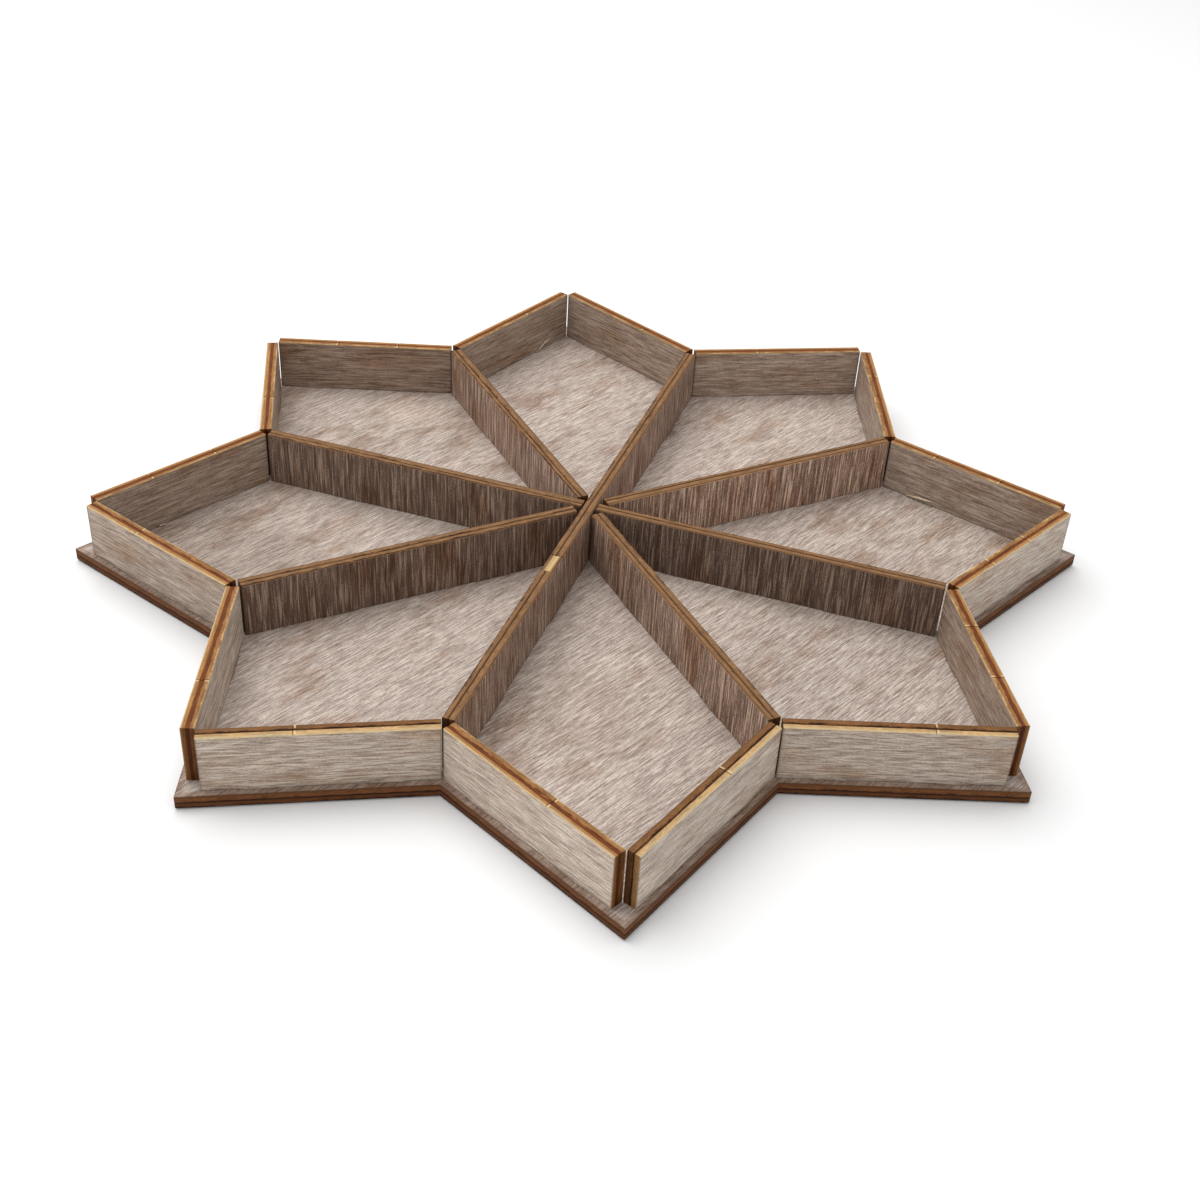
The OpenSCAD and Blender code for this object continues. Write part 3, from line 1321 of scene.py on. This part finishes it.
@dataclass
class Uprights:
    """Walls and dividers that stand on the plate."""

    plan: StarPlan
    cutter: SheetCutter
    finishes: Finishes
    luck: random.Random
    made: int = 0

    def _stand(
        self, node: str, cut: PanelCut, place: Matrix, look: PieceLook, face: dict
    ) -> None:
        """Cut a piece, stand it up and tie it to the frame."""
        self.made += 1
        values = face | {
            "Seed": float(self.made),
            "Pattern start": Vector((0.37, 0.11, 0.05)) * self.made,
            "Outer shade": look.outer_tone_and_light,
            "Inner shade": look.inner_tone_and_shade,
            "Core middle": look.core_middle,
            "Core width": look.core_width,
            "Edge finish": look.edge,
            "Turn": place.to_euler(),
            "Place": place.translation,
        }
        piece = self.cutter.cut(node + "_panel", cut.outline(), values)
        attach(piece, ROOT)
        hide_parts(node)
        LOG.info("%s: %d faces", piece.name, len(piece.data.polygons))

    def _wall_look(self, point: int, side: Side) -> PieceLook:
        """Edge and face shade factors of a wall: fresh cream edges at the front, rustier towards the back;
        the factors scale the face colour, partly the wood's own tone and partly painted light and shade, the
        inner faces darker and browner, partly their own tone and partly painted shade inside the
        compartments.
        """
        choices = {
            (7, Side.RIGHT): self.finishes.cream_edge,
            (1, Side.LEFT): self.finishes.cream_edge,
            (0, Side.RIGHT): self.finishes.cream_edge,
        }
        edge = choices.get((point, side), self.finishes.rust_edge)
        thin = edge is self.finishes.cream_edge
        # Shade factors of some wall faces, set to the light on each face: partly the wood's own tone, partly
        # painted light and shade; the rest are drawn at random, the inner ones darker as painted shade inside
        # the compartments, partly their own browner tone.
        outer = {(7, Side.RIGHT): 0.95, (0, Side.LEFT): 1.14, (0, Side.RIGHT): 1.1, (1, Side.LEFT): 0.95,
                 (6, Side.RIGHT): 0.86}
        inner = {(7, Side.LEFT): 1.0, (6, Side.RIGHT): 0.85, (6, Side.LEFT): 0.72, (5, Side.LEFT): 0.62,
                 (4, Side.RIGHT): 0.72, (4, Side.LEFT): 0.7, (3, Side.RIGHT): 0.8, (2, Side.RIGHT): 0.8}
        return PieceLook(
            edge=edge,
            outer_tone_and_light=outer.get((point, side), self.luck.uniform(0.97, 1.04)),
            inner_tone_and_shade=inner.get((point, side), self.luck.uniform(0.68, 0.78)),
            core_middle=self.luck.uniform(1.35, 1.65) * MM,
            core_width=(self.luck.uniform(0.4, 0.55) if thin else self.luck.uniform(0.7, 1.1)) * MM,
        )

    def walls(self) -> None:
        """Stand up the two walls of every point."""
        plan = self.plan
        face = {"Face finish": self.finishes.wall}
        for point in range(plan.points):
            for side in Side:
                shares = self.luck.choice(((0.34,), (0.3, 0.66), (0.62,), (0.36, 0.7)))
                nicks = tuple(plan.wall_len * share + self.luck.uniform(-2, 2) * MM for share in shares)
                cut = PanelCut(
                    plan.wall_len, plan.wall_h, plan.sheet, tuple(plan.wall_tabs()), plan.wall_tab, nicks
                )
                node = f"point_{point + 1}_{side.value}_wall"
                look = self._wall_look(point, side)
                self._stand(node, cut, plan.wall_place(point, side), look, face)

    def dividers(self) -> None:
        """Stand up the through divider and the half dividers."""
        plan = self.plan
        face = {"Grain angle": math.pi / 2, "Face finish": self.finishes.divider}
        length = 2 * plan.divider_end
        patch = plan.divider_end - 30.5 * MM, plan.divider_end - 24 * MM
        cut = PanelCut(
            length, plan.wall_h, plan.sheet, tuple(plan.through_tabs()), plan.divider_tab, bare_patch=patch
        )
        place = plan.divider_place(plan.through, -plan.divider_end)
        # Shade factors of the through divider's faces: partly its own tone, partly painted light.
        look = self._divider_look(2.3, 2.2)
        self._stand("through_divider", cut, place, look, face)
        # Shade factors of the half dividers, one per valley: partly the wood's own tone, partly painted
        # light.
        tones_and_light = {0: 2.2, 1: 1.2, 2: 3.0, 4: 2.4, 5: 1.5, 6: 1.45}
        for i, valley in enumerate(plan.half_valleys()):
            start = plan.half_start(valley)
            cut = PanelCut(
                plan.divider_end - start,
                plan.wall_h,
                plan.sheet,
                tuple(plan.half_tabs(start)),
                plan.divider_tab,
            )
            look = self._divider_look(tones_and_light[valley], tones_and_light[valley])
            place = plan.divider_place(valley, start)
            self._stand(f"half_divider_{i + 1}", cut, place, look, face)

    def _divider_look(self, first: float, second: float) -> PieceLook:
        """Edge and face shade factors of a divider: colour factors that are partly the wood's own tone and
        partly painted light.
        """
        return PieceLook(
            edge=self.finishes.tan_edge,
            outer_tone_and_light=first,
            inner_tone_and_shade=second,
            core_middle=self.luck.uniform(1.2, 1.8) * MM,
            core_width=self.luck.uniform(0.3, 0.5) * MM,
        )


@dataclass
class BasePlate:
    """The star plate with its slots."""

    plan: StarPlan
    cutter: SheetCutter
    finishes: Finishes
    grain_angle: float = math.radians(43)

    def _slot(self, place: Matrix, start: float, width: float) -> Loop:
        """Cut line of the slot under one tab, on the plate's own plane."""
        gap = self.plan.slot_clearance
        low, high = start - gap, start + width + gap
        corners = []
        far = self.plan.sheet + gap
        for x, z in ((low, -gap), (high, -gap), (high, far), (low, far)):
            spot = place @ Vector((x, 0.0, z))
            corners.append((spot.x, spot.y))
        return Loop(tuple(corners), (1.0,) * len(corners))

    def outline(self) -> CutOutline:
        """Star outline and every slot.

        Returns:
            The cut lines of the plate.
        """
        plan = self.plan
        star: list[Point] = []
        for p in range(plan.points):
            tip, valley = plan.point_angle(p), plan.valley_angle(p)
            star.append((plan.tip_r * math.cos(tip), plan.tip_r * math.sin(tip)))
            star.append((plan.valley_r * math.cos(valley), plan.valley_r * math.sin(valley)))
        loops = [Loop(tuple(star), (1.0,) * len(star))]
        for p in range(plan.points):
            for side in Side:
                place = plan.wall_place(p, side)
                loops += [self._slot(place, t, plan.wall_tab) for t in plan.wall_tabs()]
        for valley in plan.half_valleys():
            start = plan.half_start(valley)
            place = plan.divider_place(valley, start)
            loops += [self._slot(place, t, plan.divider_tab) for t in plan.half_tabs(start)]
        place = plan.divider_place(plan.through, -plan.divider_end)
        loops += [self._slot(place, t, plan.divider_tab) for t in plan.through_tabs()]
        return CutOutline(tuple(loops))

    def build(self) -> None:
        """Cut the plate and tie it to the frame."""
        values = {
            "Seed": 90.0,
            "Grain angle": self.grain_angle,
            "Core middle": 1.35 * MM,
            "Core width": 0.45 * MM,
            "Face finish": self.finishes.floor,
            "Edge finish": self.finishes.base_edge,
        }
        piece = self.cutter.cut("star_plate", self.outline(), values)
        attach(piece, ROOT)
        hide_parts("base_plate")
        LOG.info("star_plate: %d faces", len(piece.data.polygons))


@dataclass(frozen=True)
class Fibre:
    """One splinter at the foot of a wall, in millimetres.

    Its ends are given along the wall, up it and away from its inner face.
    """

    point: int
    side: Side
    start: tuple[float, float, float]
    stop: tuple[float, float, float]
    thickness: float


@dataclass
class LooseFibres:
    """Splinters that lie at the feet of a few walls, swept along their own lines."""

    plan: StarPlan
    finish: bpy.types.Material
    luck: random.Random
    stations: int = 9
    sides: int = 7
    sway: float = 0.12 * MM
    blunt: float = 0.4
    crease: float = math.radians(60)

    def fibres(self) -> list[Fibre]:
        """The splinters, in the order in which they are drawn."""
        return [
            Fibre(2, Side.RIGHT, (7.3, 0.5, 0.35), (15.2, 1.5, 0.4), 0.7),
            Fibre(4, Side.RIGHT, (33.6, 0.3, 0.5), (39.4, 3.4, 1.2), 0.4),
            Fibre(4, Side.RIGHT, (34.8, 0.3, 0.9), (37.6, 3.0, 0.8), 0.3),
            Fibre(6, Side.LEFT, (15.0, 0.3, 0.5), (16.8, 0.4, 0.8), 0.45),
        ]

    def _lines(self) -> bpy.types.Mesh:
        """Centre lines with the half thickness of every point."""
        points: list[Vector] = []
        radii: list[float] = []
        edges: list[tuple[int, int]] = []
        for fibre in self.fibres():
            place = self.plan.wall_place(fibre.point, fibre.side)
            inner = Vector((0.0, 0.0, self.plan.sheet))
            low, high = (place @ (Vector(end) * MM + inner) for end in (fibre.start, fibre.stop))
            for k in range(self.stations):
                share = k / (self.stations - 1)
                lift = self.luck.uniform(0.0, self.sway) * math.sin(math.pi * share)
                points.append(low.lerp(high, share) + Vector((0.0, 0.0, lift)))
                taper = max(self.blunt, math.sin(math.pi * share) ** 0.6)
                radii.append(fibre.thickness * MM / 2 * taper)
                if k:
                    edges.append((len(points) - 2, len(points) - 1))
        mesh = bpy.data.meshes.new("fibre_lines")
        mesh.from_pydata(points, edges, [])
        mesh.attributes.new("radius_here", "FLOAT", "POINT").data.foreach_set("value", radii)
        return mesh

    def _sweeper(self) -> Generator:
        """Sweep a round section along every line."""
        sweeper = Generator("splinters", (
            ("Lines", "NodeSocketGeometry", None),
            ("Sides", "NodeSocketInt", None),
            ("Finish", "NodeSocketMaterial", None),
        ))
        b = sweeper.board
        given = b.add("NodeGroupInput").outputs
        curve = b.add("GeometryNodeMeshToCurve", {"Mesh": given["Lines"]}).outputs[0]
        section = b.add("GeometryNodeCurvePrimitiveCircle", {"Resolution": given["Sides"], "Radius": 1.0})
        swept = b.add("GeometryNodeCurveToMesh", {
            "Curve": curve,
            "Profile Curve": section.outputs[0],
            "Scale": b.attribute("radius_here"),
            "Fill Caps": True,
        }).outputs[0]
        b.give(b.dressed(swept, given["Finish"]))
        return sweeper

    def build(self) -> None:
        """Make the splinters as one piece and tie it to the frame."""
        values = {"Sides": self.sides, "Finish": self.finish}
        piece = self._sweeper().run("loose_fibres", self._lines(), values, self.crease)
        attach(piece, ROOT)
        LOG.info("loose_fibres: %d faces", len(piece.data.polygons))


# --------------------------------------------------------------------------- studio


@dataclass(frozen=True)
class Studio:
    """Pale table, soft light and the camera."""

    azimuth: float = math.radians(-5.64)
    elevation: float = math.radians(35.9)
    roll: float = math.radians(3.53)
    distance: float = 384.5 * MM
    look_at: tuple[float, float, float] = (1.8 * MM, -20.4 * MM, 3 * MM)
    lens: float = 48.2
    table_half: float = 3.0
    table_white: float = 0.74
    table_drop: float = 0.35 * MM
    sky: float = 0.75

    def build(self) -> None:
        """Set up the table, the lights and the camera."""
        self._table()
        self._lights()
        self._camera()

    def _table(self) -> None:
        """A wide pale table, a hair below the plate so that its rim casts a dark line."""
        half, low = self.table_half, -self.table_drop
        corners = [(-half, -half, low), (half, -half, low), (half, half, low), (-half, half, low)]
        mesh = bpy.data.meshes.new("table")
        mesh.from_pydata(corners, [], [(0, 1, 2, 3)])
        material = bpy.data.materials.new("table_white")
        material.use_nodes = True
        shader = material.node_tree.nodes["Principled BSDF"]
        shader.inputs["Base Color"].default_value = (self.table_white,) * 3 + (1.0,)
        shader.inputs["Roughness"].default_value = 0.8
        shader.inputs["Specular IOR Level"].default_value = 0.1
        mesh.materials.append(material)
        table = bpy.data.objects.new("table", mesh)
        bpy.context.scene.collection.objects.link(table)

    def _lights(self) -> None:
        """An even sky and one wide overhead light."""
        world = bpy.data.worlds.new("studio")
        world.use_nodes = True
        background = world.node_tree.nodes["Background"]
        background.inputs["Color"].default_value = (1.0, 1.0, 1.0, 1.0)
        background.inputs["Strength"].default_value = self.sky
        bpy.context.scene.world = world
        self._area("overhead", (-0.25, 0.25, 0.9), (0.0, 0.0, 0.0), 1.0, 10.5)

    @staticmethod
    def _area(
        name: str, place: Sequence[float], target: Sequence[float], size: float, power: float
    ) -> None:
        """A square soft light that faces a point."""
        data = bpy.data.lights.new(name, "AREA")
        data.size = size
        data.energy = power
        lamp = bpy.data.objects.new(name, data)
        aim = Vector(target) - Vector(place)
        lamp.matrix_world = Matrix.Translation(place) @ aim.to_track_quat("-Z", "Y").to_matrix().to_4x4()
        bpy.context.scene.collection.objects.link(lamp)

    def _camera(self) -> None:
        """A camera in front of the tray, above it and slightly rolled."""
        back = Vector((
            math.sin(self.azimuth) * math.cos(self.elevation),
            -math.cos(self.azimuth) * math.cos(self.elevation),
            math.sin(self.elevation),
        ))
        right = Vector((0, 0, 1)).cross(back).normalized()
        up = back.cross(right)
        turn = Matrix((
            right * math.cos(self.roll) + up * math.sin(self.roll),
            up * math.cos(self.roll) - right * math.sin(self.roll),
            back,
        )).transposed().to_4x4()
        data = bpy.data.cameras.new("camera")
        data.lens = self.lens
        data.sensor_width = 36.0
        data.clip_start = 0.01
        camera = bpy.data.objects.new("camera", data)
        camera.matrix_world = Matrix.Translation(Vector(self.look_at) + back * self.distance) @ turn
        bpy.context.scene.collection.objects.link(camera)
        bpy.context.scene.camera = camera


def main() -> None:
    """Build the tray piece by piece, then the studio."""
    logging.basicConfig(level=logging.INFO, format="%(message)s")
    plan = StarPlan.from_frame()
    cutter = SheetCutter(Ply(), plan.sheet)
    finishes = Finishes.make(plan)
    BasePlate(plan, cutter, finishes).build()
    uprights = Uprights(plan, cutter, finishes, random.Random(7))
    uprights.dividers()
    uprights.walls()
    LooseFibres(plan, BareFibre().make(), random.Random(3)).build()
    Studio().build()
    bpy.context.scene.view_settings.view_transform = "Standard"


if __name__ == "__main__":
    main()
